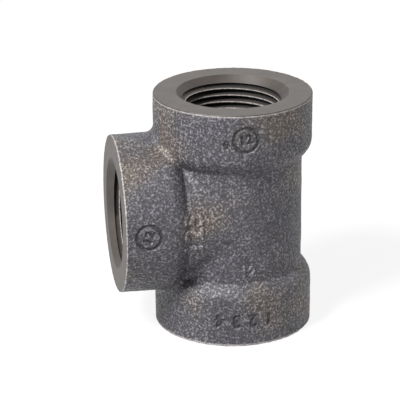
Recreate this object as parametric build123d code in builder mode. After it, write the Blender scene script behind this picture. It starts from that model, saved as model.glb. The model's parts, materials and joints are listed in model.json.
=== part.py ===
from build123d import *
from build123d.topology import SkipClean
import math
import os

os.makedirs("parts", exist_ok=True)

# A cast-iron tee for one-inch threaded pipe: one casting with three equal ports. Each port
# is a short leg with a reinforcing band round a machined, taper-tapped mouth, and a cored
# waterway joins the three inside. All sizes are millimetres. The run stands along Z on its
# lower end face, the branch points along -X, and the origin is the lower face's centre.

# Pipe thread: 1 - 11.5 NPT, measured at the end face, where it is widest
thread_pitch = 25.4 / 11.5
pitch_diameter = 31.461
thread_depth = 0.8 * thread_pitch        # crest to root, set by the NPT form
crest_flat = 0.038 * thread_pitch        # flat at the bottom of a groove, also by the form
flank_angle = 30                         # degrees, each side of the groove
taper = 1 / 32                           # radius lost per length going in
tapped_length = 17.0                     # end face to the inner end of the drilled wall
drill_under_minor = 0.326                # tap drill below the minor diameter at the face

# Casting
centre_to_end = 38.1                     # crossing of the waterways to each end face
wall = 4.75                              # round the waterway, between the bands
band_height = 3.1                        # how far a band stands out from the barrel
band_length = 16.4                       # end face to the edge of the shoulder
shoulder_length = 3.4                    # sloping shoulder, from band to barrel
band_edge_radius = 5.0                   # rounding where band turns into shoulder
shoulder_root_radius = 1.5               # fillet where shoulder meets barrel
face_edge_radius = 0.5                   # rounding round each end face

# Clearances
waterway_clearance = 0.6                 # cored waterway beyond the thread's widest root
mouth_clearance = 1.1                    # rim of the mouth chamfer beyond that root
drill_stock = 1.2                        # cast hole inside the tap drill, left for drilling
cut_past = 1.0                           # how far each machining cut runs out of the metal

# Radii worked out from the above
minor_at_face = (pitch_diameter - thread_depth) / 2
major_at_face = (pitch_diameter + thread_depth) / 2
drill_radius = minor_at_face - drill_under_minor / 2
waterway_radius = major_at_face + waterway_clearance
mouth_radius = major_at_face + mouth_clearance
barrel_radius = waterway_radius + wall
band_radius = barrel_radius + band_height
cast_hole_radius = drill_radius - drill_stock

# The three ports. Each plane lies on an end face with its normal pointing out, so a leg
# drawn with its face at z = 0 and its metal below fits every port.
ports = [
    Plane((0, 0, 2 * centre_to_end), x_dir=(1, 0, 0), z_dir=(0, 0, 1)),
    Plane((0, 0, 0), x_dir=(1, 0, 0), z_dir=(0, 0, -1)),
    Plane((-centre_to_end, 0, centre_to_end), x_dir=(0, 0, 1), z_dir=(-1, 0, 0)),
]

# Outside of one leg, turned about its own axis
shoulder_root = (barrel_radius, -band_length - shoulder_length)
band_edge = (band_radius, -band_length)
face_edge = (band_radius, 0)
with BuildPart() as leg:
    with BuildSketch(Plane.XZ) as leg_profile:
        with BuildLine():
            Polyline(
                (0, -centre_to_end),
                (barrel_radius, -centre_to_end),
                shoulder_root,
                band_edge,
                face_edge,
                (0, 0),
                close=True,
            )
        make_face()
        for corner, rounding in (
            (shoulder_root, shoulder_root_radius),
            (band_edge, band_edge_radius),
            (face_edge, face_edge_radius),
        ):
            fillet(leg_profile.vertices().sort_by_distance(corner)[0], radius=rounding)
    revolve(axis=Axis.Z)

# Outside of the casting: three legs run into each other
with BuildPart() as casting:
    with Locations(*ports):
        add(leg.part)

# One arm of the sand core: the waterway, a conical step and the hole left for drilling
with BuildPart() as core_arm:
    with BuildSketch(Plane.XZ) as core_profile:
        with BuildLine():
            Polyline(
                (0, -centre_to_end),
                (waterway_radius, -centre_to_end),
                (waterway_radius, -tapped_length - (waterway_radius - drill_radius)),
                (cast_hole_radius, -tapped_length + drill_stock),
                (cast_hole_radius, cut_past),
                (0, cut_past),
                close=True,
            )
        make_face()
    revolve(axis=Axis.Z)

with BuildPart() as core:
    with Locations(*ports):
        add(core_arm.part)

# An eighth of what drilling, reaming and countersinking take out of a mouth. The chamfer
# runs in to the thread's minor cone, and the cone in to the straight wall of the drill.
chamfer_depth = (mouth_radius - minor_at_face) / (1 - taper)
cone_end = (minor_at_face - drill_radius) / taper
wedges = 8
with BuildPart() as mouth_wedge:
    with BuildSketch(Plane.XZ) as mouth_profile:
        with BuildLine():
            Polyline(
                (0, -tapped_length - drill_stock),
                (drill_radius, -tapped_length - drill_stock),
                (drill_radius, -cone_end),
                (mouth_radius - chamfer_depth, -chamfer_depth),
                (mouth_radius + cut_past, cut_past),
                (0, cut_past),
                close=True,
            )
        make_face()
    revolve(axis=Axis.Z, revolution_arc=360 / wedges)


def groove_turn(start):
    """One turn of the thread groove, rising up the taper from the depth z = start."""
    middle = pitch_diameter / 2 + start * taper
    root = middle + thread_depth / 2
    mouth = middle - thread_depth / 2
    half_root = crest_flat / 2
    half_mouth = half_root + thread_depth * math.tan(math.radians(flank_angle))
    with BuildPart() as turn:
        with BuildLine() as path:
            Helix(
                pitch=thread_pitch,
                height=thread_pitch,
                radius=middle,
                center=(0, 0, start),
                cone_angle=math.degrees(math.atan(taper)),
            )
        with BuildSketch(Plane.XZ):
            with BuildLine():
                Polyline(
                    (mouth - drill_stock / 3, start - half_mouth),
                    (mouth, start - half_mouth),
                    (root, start - half_root),
                    (root, start + half_root),
                    (mouth, start + half_mouth),
                    (mouth - drill_stock / 3, start + half_mouth),
                    close=True,
                )
            make_face()
        sweep(path=path.wires()[0], is_frenet=True)
    return turn.part


# The tap enters past the end face and runs out over the conical step inside
first_turn = -tapped_length - 1.5 * thread_pitch
turn_count = math.ceil(-first_turn / thread_pitch) + 1
groove = [groove_turn(first_turn + turn * thread_pitch) for turn in range(turn_count)]

# The drilled wall stays in its eight faces, so that a crest is a short patch on each
with BuildPart() as tee_body:
    add(casting.part)
    add(core.part, mode=Mode.SUBTRACT)
    with SkipClean(), Locations(*ports):
        with PolarLocations(0, wedges):
            add(mouth_wedge.part, mode=Mode.SUBTRACT)
        for turn in groove:
            add(turn, mode=Mode.SUBTRACT)

tee_body.part.label = "tee_body"
export_step(tee_body.part, "parts/tee_body.step")
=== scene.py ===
import json
import math

import bmesh
import bpy
import numpy as np
from mathutils import Matrix, Vector, noise
from mathutils.bvhtree import BVHTree


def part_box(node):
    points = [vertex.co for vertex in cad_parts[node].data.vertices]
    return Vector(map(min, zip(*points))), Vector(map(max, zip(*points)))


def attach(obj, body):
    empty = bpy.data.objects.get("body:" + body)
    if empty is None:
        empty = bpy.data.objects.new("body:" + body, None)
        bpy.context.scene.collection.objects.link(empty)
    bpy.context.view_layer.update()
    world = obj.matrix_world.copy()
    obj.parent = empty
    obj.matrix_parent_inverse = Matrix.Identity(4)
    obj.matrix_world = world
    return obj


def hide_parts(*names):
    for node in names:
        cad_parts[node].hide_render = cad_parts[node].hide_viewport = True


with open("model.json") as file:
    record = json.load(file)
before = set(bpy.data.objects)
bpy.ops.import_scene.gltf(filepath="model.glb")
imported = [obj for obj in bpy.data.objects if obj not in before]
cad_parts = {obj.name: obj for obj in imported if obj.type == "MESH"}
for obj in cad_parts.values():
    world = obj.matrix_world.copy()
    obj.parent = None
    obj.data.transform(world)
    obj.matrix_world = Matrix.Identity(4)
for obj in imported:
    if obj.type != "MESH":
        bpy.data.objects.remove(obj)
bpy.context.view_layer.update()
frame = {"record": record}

# ---------------------------------------------------------------------------------------
# Tee body
# One pour of grey iron round a sand core, in a sand mould that leaves its grain all over.
# The three mouths are then faced, bored, countersunk and cut with a taper pipe thread.
# ---------------------------------------------------------------------------------------
mm = 0.001
low, high = (Vector(corner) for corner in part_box("tee_body"))
reach = (high.z - low.z) / 2                     # crossing of the waterways to each face
crossing = Vector((0, 0, low.z + reach))
band_radius = (high.y - low.y) / 2
branch_mount = {mount["name"]: mount for mount in frame["record"]["mounts"]}["branch_port"]
drill_radius = branch_mount["dims"]["r_mm"] * mm

barrel_radius = 21.96 * mm
shoulder_depth = 19.8 * mm                       # face to where a shoulder meets the barrel
shoulder_span = 5.6 * mm                         # from there to where the band is straight
crotch_blend = 3.4 * mm                          # metal filling the corner between two legs
rim_break = 0.30 * mm                            # edge knocked off round a machined face
facing_stock = 1.5 * mm                          # what facing takes off each end
skin_voxel = 0.62 * mm

# Pipe thread, 1 - 11.5 NPT
pitch = 25.4 / 11.5 * mm
crest_flat = 0.038 * pitch
groove_flare = math.tan(math.radians(30))
root_radius = 31.461 / 2 * mm + 0.4 * pitch      # at the face, where it is widest
minor_radius = 31.461 / 2 * mm - 0.4 * pitch
taper = 1 / 32
tapped = 17.0 * mm
waterway_radius = root_radius + 0.6 * mm
mouth_radius = root_radius + 1.1 * mm
turn_steps = 128

# Each port's own frame: its face at z = 0, the way out along +z
ports = [
    Matrix.Translation(crossing + Vector((0, 0, reach))),
    Matrix.Translation(crossing - Vector((0, 0, reach))) @ Matrix.Rotation(math.pi, 4, "X"),
    Matrix.Translation(crossing - Vector((reach, 0, 0))) @ Matrix.Rotation(-math.pi / 2, 4, "Y"),
]


def object_from(shape, name):
    """A linked object that holds a finished bmesh."""
    mesh = bpy.data.meshes.new(name)
    shape.to_mesh(mesh)
    shape.free()
    made = bpy.data.objects.new(name, mesh)
    bpy.context.scene.collection.objects.link(made)
    return made


def take_modifiers(piece):
    """Give a piece the mesh that its modifiers make of it."""
    graph = bpy.context.evaluated_depsgraph_get()
    old = piece.data
    piece.data = bpy.data.meshes.new_from_object(piece.evaluated_get(graph))
    piece.modifiers.clear()
    bpy.data.meshes.remove(old)


def one_skin(piece, voxel):
    """Run the overlapping bars of a piece together into one closed skin."""
    remesh = piece.modifiers.new("one_skin", "REMESH")
    remesh.mode = "VOXEL"
    remesh.voxel_size = voxel
    take_modifiers(piece)


def add_bar(shape, start, start_radius, end, end_radius, place):
    """A closed round bar, straight or tapered, between two depths below a port's face."""
    middle = Matrix.Translation((0, 0, -(start + end) / 2))
    bmesh.ops.create_cone(shape, cap_ends=True, segments=120, radius1=end_radius,
                          radius2=start_radius, depth=end - start, matrix=place @ middle)


block = bmesh.new()
for place in ports:
    shoulder_start = shoulder_depth - shoulder_span
    add_bar(block, -facing_stock, barrel_radius, reach, barrel_radius, place)
    add_bar(block, -facing_stock, band_radius, shoulder_start, band_radius, place)
    add_bar(block, shoulder_start, band_radius, shoulder_depth, barrel_radius, place)
tee = object_from(block, "tee_casting")
one_skin(tee, 0.9 * mm)


def leg_radius(along):
    """Outside radius of a leg, at a distance out from the crossing."""
    turn = np.clip((along - (reach - shoulder_depth)) / shoulder_span, 0, 1)
    return barrel_radius + (band_radius - barrel_radius) * (1 - (1 - turn) ** 2.3)


def skin_distance(points):
    """How far points stand off the casting's skin: three legs, filled where they meet."""
    x, y, z = (points - np.array(crossing)).T
    run = np.hypot(x, y) - leg_radius(np.abs(z))
    branch = np.maximum(np.hypot(y, z) - leg_radius(-x), x)
    alike = y ** 2 / np.maximum(np.hypot(x, y) * np.hypot(y, z), 1e-9)
    blend = crotch_blend * np.clip(1 - alike, 0, 1) + 1e-6
    overlap = np.maximum(blend - np.abs(run - branch), 0)
    return np.minimum(run, branch) - overlap ** 2 / blend / 4


def skin_slope(points, step=0.02 * mm):
    """Which way is straight out of the skin at each point."""
    sides = []
    for axis in range(3):
        offset = np.zeros(3)
        offset[axis] = step
        sides.append(skin_distance(points + offset) - skin_distance(points - offset))
    return np.stack(sides, axis=1) / (2 * step)


def read_points(mesh):
    points = np.empty(len(mesh.vertices) * 3)
    mesh.vertices.foreach_get("co", points)
    return points.reshape(-1, 3)


def write_points(mesh, points):
    mesh.vertices.foreach_set("co", points.ravel())
    mesh.update()


def fit_to_skin(piece):
    """Bring every point near the skin onto it."""
    points = read_points(piece.data)
    for _ in range(4):
        off = skin_distance(points)
        slope = skin_slope(points)
        near = (np.abs(off) < 2.5 * mm)[:, None]
        points -= near * off[:, None] * slope / np.maximum((slope ** 2).sum(1), 0.05)[:, None]
    write_points(piece.data, points)


fit_to_skin(tee)
one_skin(tee, skin_voxel)
fit_to_skin(tee)

# Marks that the mould leaves: plain numbers, some raised and some sunk, and two sunk rings.
# Each lies flat against the skin, at an angle round its leg and a distance along it.


def flat_number(words, size):
    """The faces of a plain number, centred on its own middle, ready to measure from."""
    text = bpy.data.curves.new("number", "FONT")
    text.body = words
    text.size = size
    text.align_x = "CENTER"
    text.align_y = "CENTER"
    text.space_character = 1.15
    holder = bpy.data.objects.new("number", text)
    bpy.context.scene.collection.objects.link(holder)
    graph = bpy.context.evaluated_depsgraph_get()
    mesh = bpy.data.meshes.new_from_object(holder.evaluated_get(graph))
    flat = bmesh.new()
    flat.from_mesh(mesh)
    tree = BVHTree.FromBMesh(flat)
    flat.free()
    bpy.data.objects.remove(holder)
    bpy.data.curves.remove(text)
    bpy.data.meshes.remove(mesh)
    return tree


def mark_place(centre, out, turn):
    """A mark's own frame: out of the skin along +z, turned about that from level."""
    level = Vector((0, 0, 1)).cross(out).normalized()
    frame_of = Matrix((level, out.cross(level), out)).transposed().to_4x4()
    return Matrix.Translation(centre) @ frame_of @ Matrix.Rotation(math.radians(turn), 4, "Z")


def round_run(angle, height, turn, radius):
    """On the run, at an angle from the front towards +x, and a height above its lower face."""
    out = Vector((math.sin(math.radians(angle)), -math.cos(math.radians(angle)), 0))
    return mark_place(out * radius + Vector((0, 0, height)), out, turn)


def round_branch(angle, distance, turn, radius):
    """On the branch, at an angle from the front towards +z, and a distance out along -x."""
    out = Vector((0, -math.cos(math.radians(angle)), math.sin(math.radians(angle))))
    return mark_place(crossing + out * radius - Vector((distance, 0, 0)), out, turn)


ring_radius = 3.8 * mm
marks = [                                        # place, number, rise, ring
    (round_run(-1.7, 68.2 * mm, 8, band_radius), flat_number("12", 3.9 * mm), -0.45 * mm, ring_radius),
    (round_run(-15.6, 66.7 * mm, 0, band_radius), flat_number("0", 3.4 * mm), -0.40 * mm, 0),
    (round_branch(1.5, 30.9 * mm, 70, band_radius), flat_number("12", 3.9 * mm), -0.45 * mm, ring_radius),
    (round_branch(-1.0, 16.2 * mm, 90, barrel_radius), flat_number("125", 8.2 * mm), 0.50 * mm, 0),
    (round_run(1.5, 23.7 * mm, 0, barrel_radius), flat_number("12", 4.6 * mm), 0.50 * mm, 0),
    (round_run(-2.5, 8.6 * mm, 180, band_radius), flat_number("1 2 3 4", 5.6 * mm), -0.45 * mm, 0),
]
stroke_edge = 0.45 * mm                          # draft on the side of a stroke
ring_half_width = 0.28 * mm


def relief(points):
    """How far the marks stand out of the skin (or sink into it) at each point."""
    height = np.zeros(len(points))
    for place, number, rise, ring in marks:
        local = (points - np.array(place.translation)) @ np.array(place.to_3x3())
        close = np.flatnonzero((np.abs(local[:, 2]) < 5 * mm)
                               & (np.hypot(local[:, 0], local[:, 1]) < 13 * mm))
        for index in close:
            u, v, _ = local[index]
            off = number.find_nearest(Vector((u, v, 0)), 2 * mm)[3]
            off = 2 * mm if off is None else off
            if ring:
                off = min(off, max(abs(math.hypot(u, v) - ring) - ring_half_width, 0))
            share = max(1 - off / stroke_edge, 0)
            height[index] += rise * share * share * (3 - 2 * share)
    return height


def near_marks(points, spread):
    """Which points lie within a distance of a stroke or a ring."""
    close = np.zeros(len(points), bool)
    for place, number, rise, ring in marks:
        local = (points - np.array(place.translation)) @ np.array(place.to_3x3())
        for index in np.flatnonzero((np.abs(local[:, 2]) < 5 * mm)
                                    & (np.hypot(local[:, 0], local[:, 1]) < 13 * mm)):
            u, v, _ = local[index]
            hit = number.find_nearest(Vector((u, v, 0)), spread)[3] is not None
            close[index] |= hit or bool(ring) and abs(math.hypot(u, v) - ring) < spread
    return close


# The skin is divided finer round each mark
for spread in (1.4 * mm, 1.0 * mm):
    refined = bmesh.new()
    refined.from_mesh(tee.data)
    refined.verts.ensure_lookup_table()
    close = near_marks(read_points(tee.data), spread)
    edges = [edge for edge in refined.edges if close[edge.verts[0].index] and close[edge.verts[1].index]]
    bmesh.ops.subdivide_edges(refined, edges=edges, cuts=1, use_grid_fill=True)
    refined.to_mesh(tee.data)
    refined.free()
fit_to_skin(tee)

# Sand packs unevenly, over a finger's width and grain by grain
points = read_points(tee.data)
slope = skin_slope(points)
slope /= np.maximum(np.linalg.norm(slope, axis=1), 1e-6)[:, None]
uneven = np.array([noise.fractal(Vector(point) / (11 * mm), 0.7, 2.0, 2) for point in points]) * 0.11 * mm
grain = np.array([noise.fractal(Vector(point) / (1.9 * mm), 0.6, 2.0, 2) for point in points]) * 0.05 * mm
points += slope * (uneven + grain + relief(points) - 0.06 * mm)[:, None]
write_points(tee.data, points)

# Facing: each end is cut off flat, and its sharp rim is knocked back
faced = bmesh.new()
faced.from_mesh(tee.data)
for place in ports:
    origin = place.translation
    out = place.to_3x3() @ Vector((0, 0, 1))
    everything = faced.verts[:] + faced.edges[:] + faced.faces[:]
    bmesh.ops.bisect_plane(faced, geom=everything, plane_co=origin, plane_no=out, clear_outer=True)
    everything = faced.verts[:] + faced.edges[:] + faced.faces[:]
    bmesh.ops.bisect_plane(faced, geom=everything, plane_co=origin - out * rim_break, plane_no=out)
    rim = [edge for edge in faced.edges if edge.is_boundary]
    for vert in {vert for edge in rim for vert in edge.verts}:
        inward = vert.co - origin
        rim_wear_and_mark_shade = rim_break * (0.9 + 0.8 * noise.noise(vert.co / (1.3 * mm)))
        vert.co -= inward.normalized() * rim_wear_and_mark_shade
    inner_edge = bmesh.ops.extrude_edge_only(faced, edges=rim)["geom"]
    for vert in (part for part in inner_edge if isinstance(part, bmesh.types.BMVert)):
        vert.co -= (vert.co - origin).normalized() * rim_break
    bmesh.ops.holes_fill(faced, edges=[edge for edge in faced.edges if edge.is_boundary], sides=0)
bmesh.ops.remove_doubles(faced, verts=faced.verts, dist=1e-6)
bmesh.ops.triangulate(faced, faces=faced.faces)
bmesh.ops.recalc_face_normals(faced, faces=faced.faces)
for vert in faced.verts:
    vert.co = Vector(min(max(vert.co[axis], low[axis]), high[axis]) for axis in range(3))
faced.to_mesh(tee.data)
faced.free()


def turned(profile, place, name):
    """A solid of revolution about a port's axis, from points (radius, height)."""
    shape = bmesh.new()
    verts = [shape.verts.new((radius, 0, height)) for radius, height in profile]
    edges = [shape.edges.new(pair) for pair in zip(verts, verts[1:])]
    bmesh.ops.spin(shape, geom=verts + edges, axis=(0, 0, 1), cent=(0, 0, 0), dvec=(0, 0, 0),
                   angle=math.tau, steps=turn_steps, use_merge=True)
    bmesh.ops.remove_doubles(shape, verts=shape.verts, dist=1e-6)
    bmesh.ops.recalc_face_normals(shape, faces=shape.faces)
    bmesh.ops.transform(shape, matrix=place, verts=shape.verts)
    return object_from(shape, name)


def cut(piece, tool):
    """Take a tool's shape out of a piece."""
    boolean = piece.modifiers.new("cut", "BOOLEAN")
    boolean.operation = "DIFFERENCE"
    boolean.solver = "MANIFOLD"
    boolean.object = tool
    take_modifiers(piece)
    bpy.data.objects.remove(tool)


# The core's three arms leave the waterway
for place in ports:
    step = waterway_radius - drill_radius
    cut(tee, turned([(0, -reach - 1 * mm), (waterway_radius, -reach), (waterway_radius, -tapped - step),
                     (drill_radius - 0.3 * mm, -tapped + 0.3 * mm), (0, -tapped + 0.3 * mm)],
                    place, "core_arm"))

# Drill, reamer and countersink
chamfer_depth = (mouth_radius - minor_radius) / (1 - taper)
cone_end = (minor_radius - drill_radius) / taper
for place in ports:
    cut(tee, turned([(0, -tapped - 1.2 * mm), (drill_radius, -tapped - 1.2 * mm), (drill_radius, -cone_end),
                     (mouth_radius - chamfer_depth, -chamfer_depth), (mouth_radius + 1 * mm, 1 * mm),
                     (0, 1 * mm)], place, "countersink"))

# Tap: one pitch of its thread, spun up the taper, and cut off square at both ends
for place in ports:
    tap = bmesh.new()
    turns = math.ceil(tapped / pitch) + 5
    start = -(turns - 2) * pitch
    full_depth = (pitch - crest_flat) / 2 / groove_flare
    ridge = [(root_radius - full_depth, 0), (root_radius, pitch / 2 - crest_flat / 2),
             (root_radius, pitch / 2 + crest_flat / 2), (root_radius - full_depth, pitch)]
    verts = [tap.verts.new((radius, 0, start + height)) for radius, height in ridge]
    edges = [tap.edges.new(pair) for pair in zip(verts, verts[1:])]
    bmesh.ops.spin(tap, geom=verts + edges, axis=(0, 0, 1), cent=(0, 0, 0),
                   dvec=(0, 0, pitch / turn_steps), angle=math.tau * turns,
                   steps=turn_steps * turns, use_merge=False)
    bmesh.ops.remove_doubles(tap, verts=tap.verts, dist=1e-6)
    for vert in tap.verts:
        radius = math.hypot(vert.co.x, vert.co.y)
        vert.co.xy *= (radius + vert.co.z * taper) / radius
    inner = -tapped - 1.6 * mm
    for height, side in ((1.3 * mm, 1), (inner, -1)):
        everything = tap.verts[:] + tap.edges[:] + tap.faces[:]
        bmesh.ops.bisect_plane(tap, geom=everything, plane_co=(0, 0, height),
                               plane_no=(0, 0, side), clear_outer=True)
        bmesh.ops.holes_fill(tap, edges=[e for e in tap.edges if e.is_boundary
                                         and abs(e.verts[0].co.z - height) < 1e-7], sides=0)
    bmesh.ops.triangulate(tap, faces=tap.faces)
    bmesh.ops.recalc_face_normals(tap, faces=tap.faces)
    bmesh.ops.transform(tap, matrix=place, verts=tap.verts)
    cut(tee, object_from(tap, "tap"))

# Slivers that the cuts leave are closed up
cleaned = bmesh.new()
cleaned.from_mesh(tee.data)
bmesh.ops.dissolve_degenerate(cleaned, dist=0.001 * mm, edges=cleaned.edges)
bmesh.ops.remove_doubles(cleaned, verts=cleaned.verts, dist=0.001 * mm)
bmesh.ops.triangulate(cleaned, faces=cleaned.faces)
cleaned.to_mesh(tee.data)
cleaned.free()

# Finish: machined where a tool has been, as cast everywhere else
points = read_points(tee.data)
depth_of, radius_of = [], []
for place in ports:
    local = (points - np.array(place.translation)) @ np.array(place.to_3x3())
    depth_of.append(-local[:, 2])
    radius_of.append(np.hypot(local[:, 0], local[:, 1]))
depth_of, radius_of = np.array(depth_of), np.array(radius_of)
at_face = (depth_of < rim_break * 0.9) & (radius_of < band_radius + 1 * mm) & (depth_of > -0.01 * mm)
in_mouth = (depth_of < tapped + 1.6 * mm) & (radius_of < mouth_radius + 0.02 * mm) & (depth_of > -0.01 * mm)
machined = (at_face | in_mouth).any(0)

# How much each point is lightened: rims, worn bare and given a painted highlight, and the lands between
# thread grooves, given a painted highlight
land = (in_mouth & (radius_of < drill_radius + 0.14 * mm)).any(0)
rim = ((np.abs(depth_of - rim_break) < 0.03 * mm) & (radius_of > band_radius - 1 * mm)
       & (radius_of < band_radius + 1 * mm)).any(0)
rub_and_highlight = np.maximum(land * 0.8, rim * 1.0)
# Inside the tapped bore, apart from the lands: the colour is darkened here as painted shade
painted_bore_shade = (in_mouth & (depth_of > chamfer_depth * 0.9)).any(0) & ~land
tee.data.attributes.new("painted_bore_shade", "FLOAT", "POINT").data.foreach_set("value", painted_bore_shade.astype(np.float32))
tee.data.attributes.new("rub_and_highlight", "FLOAT", "POINT").data.foreach_set("value", rub_and_highlight.astype(np.float32))
stamped = relief(points) / (0.5 * mm)
tee.data.attributes.new("stamped", "FLOAT", "POINT").data.foreach_set("value", stamped.astype(np.float32))

finished = bmesh.new()
finished.from_mesh(tee.data)
finished.verts.ensure_lookup_table()
for face in finished.faces:
    face.smooth = True
by_tool = [int(all(machined[vert.index] for vert in face.verts)) for face in finished.faces]
for edge in finished.edges:
    if any(by_tool[face.index] for face in edge.link_faces):
        edge.smooth = edge.calc_face_angle(0) < math.radians(26)
finished.to_mesh(tee.data)
finished.free()


def srgb(code):
    """A colour written as sRGB hex, as the linear values that a shader takes."""
    parts = [int(code[start:start + 2], 16) / 255 for start in (0, 2, 4)]
    return [part / 12.92 if part <= 0.04045 else ((part + 0.055) / 1.055) ** 2.4 for part in parts] + [1]


def add_node(material, kind, settings=(), inputs=(), links=()):
    """One node: its settings, the values on its sockets, and the sockets that feed it."""
    node = material.node_tree.nodes.new(kind)
    for name, value in dict(settings).items():
        setattr(node, name, value)
    for name, value in dict(inputs).items():
        node.inputs[name].default_value = value
    for name, socket in dict(links).items():
        material.node_tree.links.new(socket, node.inputs[name])
    return node


def ramp(material, fac, stops):
    """A colour ramp through (place, colour) stops."""
    node = add_node(material, "ShaderNodeValToRGB", links={"Fac": fac})
    band = node.color_ramp
    while len(band.elements) < len(stops):
        band.elements.new(0.5)
    for element, (position, colour) in zip(band.elements, stops):
        element.position = position
        element.color = colour if isinstance(colour, list) else [colour] * 3 + [1]
    return node.outputs["Color"]


def blank_material(name):
    material = bpy.data.materials.new(name)
    material.use_nodes = True
    material.node_tree.nodes.clear()
    return material


def grain_noise(material, coordinates, size, detail=2.0, rough=0.55):
    """Noise whose lumps are about a given size across."""
    return add_node(material, "ShaderNodeTexNoise", inputs={
        "Scale": 1 / size, "Detail": detail, "Roughness": rough},
                    links={"Vector": coordinates}).outputs["Fac"]


# Grey iron as it leaves a green-sand mould, blasted and oiled: dark grey with a pepper of grain whose
# brightest specks are painted glints, browner in places, sunk marks darkened as painted shade, raised ones
# and the rims lightened as a painted highlight (the rims worn bare too).
# Sand grains leave lumps about 0.4 mm across, drawn at 0.7 mm so that they show.
cast = blank_material("sand_cast_iron")
place_at = add_node(cast, "ShaderNodeTexCoord").outputs["Object"]
patch = grain_noise(cast, place_at, 22 * mm, 1.0)
speck = grain_noise(cast, place_at, 0.68 * mm, 2.0, 0.6)
lump = grain_noise(cast, place_at, 1.3 * mm, 2.0)
tone = ramp(cast, patch, [(0.40, srgb("4b484f")), (0.54, srgb("545156")), (0.70, srgb("645b55"))])
# Grain speckle in the colour: darker and lighter grains, the brightest specks a painted glint
pepper = ramp(cast, speck, [(0.36, 0.24), (0.52, 0.47), (0.66, 1.8)])
coloured = add_node(cast, "ShaderNodeMix", {"data_type": "RGBA", "blend_type": "MULTIPLY"}, {0: 1.0},
                    {6: tone, 7: pepper}).outputs[2]
# Sunk marks darkened as painted shade in their hollows, raised ones lightened as a painted highlight
sunk = add_node(cast, "ShaderNodeAttribute", {"attribute_name": "stamped"}).outputs["Fac"]
rim_wear_and_mark_shade = add_node(cast, "ShaderNodeMapRange", {},
                {"From Min": -1.0, "From Max": 1.0, "To Min": 0.25, "To Max": 1.6},
                {"Value": sunk}).outputs[0]
shaded = add_node(cast, "ShaderNodeMix", {"data_type": "RGBA", "blend_type": "MULTIPLY"}, {0: 1.0},
                  {6: coloured, 7: rim_wear_and_mark_shade}).outputs[2]
# Rims lightened in the cast colour: worn bare metal and a painted highlight
rub_highlight_fac = add_node(cast, "ShaderNodeAttribute", {"attribute_name": "rub_and_highlight"}).outputs["Fac"]
amount = add_node(cast, "ShaderNodeMath", {"operation": "MULTIPLY"}, links={0: rub_highlight_fac, 1: speck}).outputs[0]
skin_tone = add_node(cast, "ShaderNodeMix", {"data_type": "RGBA"}, {7: srgb("b4aeac")},
                     {0: amount, 6: shaded}).outputs[2]
gloss = ramp(cast, speck, [(0.3, 0.72), (0.7, 0.40)])
fine = add_node(cast, "ShaderNodeBump", {}, {"Strength": 0.9, "Distance": 0.30 * mm}, {"Height": speck})
coarse = add_node(cast, "ShaderNodeBump", {}, {"Strength": 0.7, "Distance": 0.30 * mm},
                  {"Height": lump, "Normal": fine.outputs[0]})
shader = add_node(cast, "ShaderNodeBsdfPrincipled", {}, {"Metallic": 0.0},
                  {"Base Color": skin_tone, "Roughness": gloss, "Normal": coarse.outputs[0]})
add_node(cast, "ShaderNodeOutputMaterial", links={"Surface": shader.outputs[0]})

# The same iron turned and tapped: smoother, a brownish grey, with faint tool marks, darkened inside the
# tapped bore as painted shade, and lightened at the rims (worn bare metal and a painted highlight) and on
# the lands of the thread (a painted highlight).
turned_iron = blank_material("machined_iron")
place_at = add_node(turned_iron, "ShaderNodeTexCoord").outputs["Object"]
smear = grain_noise(turned_iron, place_at, 6 * mm, 2.0)
scratch = grain_noise(turned_iron, place_at, 0.5 * mm, 2.0)
tone = ramp(turned_iron, smear, [(0.35, srgb("332e2b")), (0.65, srgb("3d3733"))])
bore_shade_fac = add_node(turned_iron, "ShaderNodeAttribute", {"attribute_name": "painted_bore_shade"}).outputs["Fac"]
bore_shade_share = ramp(turned_iron, bore_shade_fac, [(0.25, 0.0), (0.60, 1.0)])
# There the bore's colour is taken towards near black: painted shade in the grooves
tone = add_node(turned_iron, "ShaderNodeMix", {"data_type": "RGBA"}, {7: srgb("1c1a1b")},
                {0: bore_shade_share, 6: tone}).outputs[2]
rub_highlight_fac = add_node(turned_iron, "ShaderNodeAttribute", {"attribute_name": "rub_and_highlight"}).outputs["Fac"]
bright = ramp(turned_iron, rub_highlight_fac, [(0.66, 0.0), (0.79, 1.0)])
patchy = ramp(turned_iron, scratch, [(0.35, 0.35), (0.60, 1.0)])
amount = add_node(turned_iron, "ShaderNodeMath", {"operation": "MULTIPLY"},
                  links={0: bright, 1: patchy}).outputs[0]
# Rims and thread lands taken towards pale grey: worn metal and a painted highlight
worn_highlit_tone = add_node(turned_iron, "ShaderNodeMix", {"data_type": "RGBA"}, {7: srgb("a9a3a0")},
                       {0: amount, 6: tone}).outputs[2]
marks_of_tool = add_node(turned_iron, "ShaderNodeBump", {}, {"Strength": 0.4, "Distance": 0.06 * mm},
                         {"Height": scratch})
shader = add_node(turned_iron, "ShaderNodeBsdfPrincipled", {}, {"Metallic": 0.25, "Roughness": 0.50},
                  {"Base Color": worn_highlit_tone, "Normal": marks_of_tool.outputs[0]})
add_node(turned_iron, "ShaderNodeOutputMaterial", links={"Surface": shader.outputs[0]})

tee.data.materials.clear()
for material in (cast, turned_iron):
    tee.data.materials.append(material)
tee.data.polygons.foreach_set("material_index", by_tool)
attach(tee, "root")
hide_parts("tee_body")

# ---------------------------------------------------------------------------------------
# Floor
# A plain pale sheet that the tee stands on. It reads as white and keeps the tee's shadow.
# ---------------------------------------------------------------------------------------
sheet = bmesh.new()
bmesh.ops.create_grid(sheet, x_segments=1, y_segments=1, size=3.0,
                      matrix=Matrix.Translation((0, 0, low.z - 0.1 * mm)))
floor = object_from(sheet, "floor")
pale = blank_material("pale_floor")
diffuse = add_node(pale, "ShaderNodeBsdfDiffuse", {}, {"Color": srgb("f4f4f4")})
white = add_node(pale, "ShaderNodeEmission", {}, {"Strength": 1.0})


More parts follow.
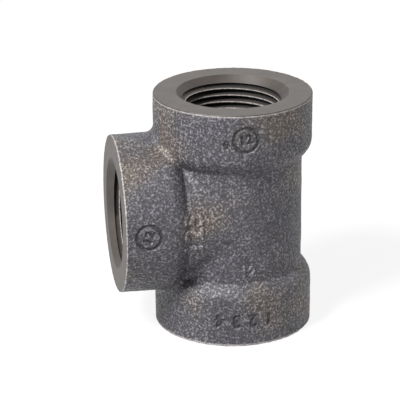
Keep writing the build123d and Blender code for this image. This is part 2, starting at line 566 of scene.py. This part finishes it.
def seen_or_mirrored(material, share):
    """A share for rays from the camera, or by way of gloss or glass, and none for the rest."""
    ray = add_node(material, "ShaderNodeLightPath").outputs
    gloss_too = add_node(material, "ShaderNodeMath", {"operation": "MAXIMUM"},
                         links={0: ray["Is Camera Ray"], 1: ray["Is Glossy Ray"]}).outputs[0]
    glass_too = add_node(material, "ShaderNodeMath", {"operation": "MAXIMUM"},
                         links={0: gloss_too, 1: ray["Is Transmission Ray"]}).outputs[0]
    return add_node(material, "ShaderNodeMath", {"operation": "MULTIPLY"}, {1: share}, {0: glass_too})


seen = seen_or_mirrored(pale, 0.88)
mixed = add_node(pale, "ShaderNodeMixShader", links={0: seen.outputs[0], 1: diffuse.outputs[0],
                                                     2: white.outputs[0]})
add_node(pale, "ShaderNodeOutputMaterial", links={"Surface": mixed.outputs[0]})
floor.data.materials.append(pale)

# ---------------------------------------------------------------------------------------
# Light
# A big soft box high on the left, a weak one at the right, and an even pale surround.
# ---------------------------------------------------------------------------------------


def soft_box(name, position, size, power):
    lamp = bpy.data.lights.new(name, "AREA")
    lamp.size = size
    lamp.energy = power
    made = bpy.data.objects.new(name, lamp)
    made.location = position
    made.rotation_euler = (crossing - Vector(position)).to_track_quat("-Z", "Y").to_euler()
    bpy.context.scene.collection.objects.link(made)


soft_box("key", (-0.56, -0.42, 0.78), 0.26, 23.0)
soft_box("fill", (0.75, 0.05, 0.35), 0.4, 1.2)
soft_box("back", (0.15, 0.7, 0.6), 0.5, 1.0)

world = bpy.data.worlds.new("surround")
bpy.context.scene.world = world
world.use_nodes = True
world.node_tree.nodes.clear()
surround = add_node(world, "ShaderNodeBackground", {}, {"Strength": 0.18})
plain_white = add_node(world, "ShaderNodeBackground", {}, {"Strength": 1.0})
for background in (surround, plain_white):
    background.inputs["Color"].default_value = (1, 1, 1, 1)
seen = seen_or_mirrored(world, 1.0)
chosen = add_node(world, "ShaderNodeMixShader", links={0: seen.outputs[0], 1: surround.outputs[0],
                                                       2: plain_white.outputs[0]})
add_node(world, "ShaderNodeOutputWorld", links={"Surface": chosen.outputs[0]})

# ---------------------------------------------------------------------------------------
# Camera
# A long lens, a little above the tee and a little to its left.
# ---------------------------------------------------------------------------------------
turn, lift, tilt = (math.radians(angle) for angle in (-10.4, 20.7, 0.37))
back = Vector((math.sin(turn) * math.cos(lift), -math.cos(turn) * math.cos(lift), math.sin(lift)))
right = Vector((0, 0, 1)).cross(back).normalized()
up = back.cross(right)
aim = Vector((-0.005, 0, 0.0381)) - right * 0.00548 + up * 0.00194
camera = bpy.data.objects.new("camera", bpy.data.cameras.new("camera"))
camera.data.lens = 188.7
camera.data.sensor_width = 36
camera.matrix_world = (Matrix.Translation(aim + back * 0.668)
                       @ Matrix((right, up, back)).transposed().to_4x4()
                       @ Matrix.Rotation(-tilt, 4, "Z"))
bpy.context.scene.collection.objects.link(camera)
bpy.context.scene.camera = camera
bpy.context.scene.view_settings.view_transform = "Standard"
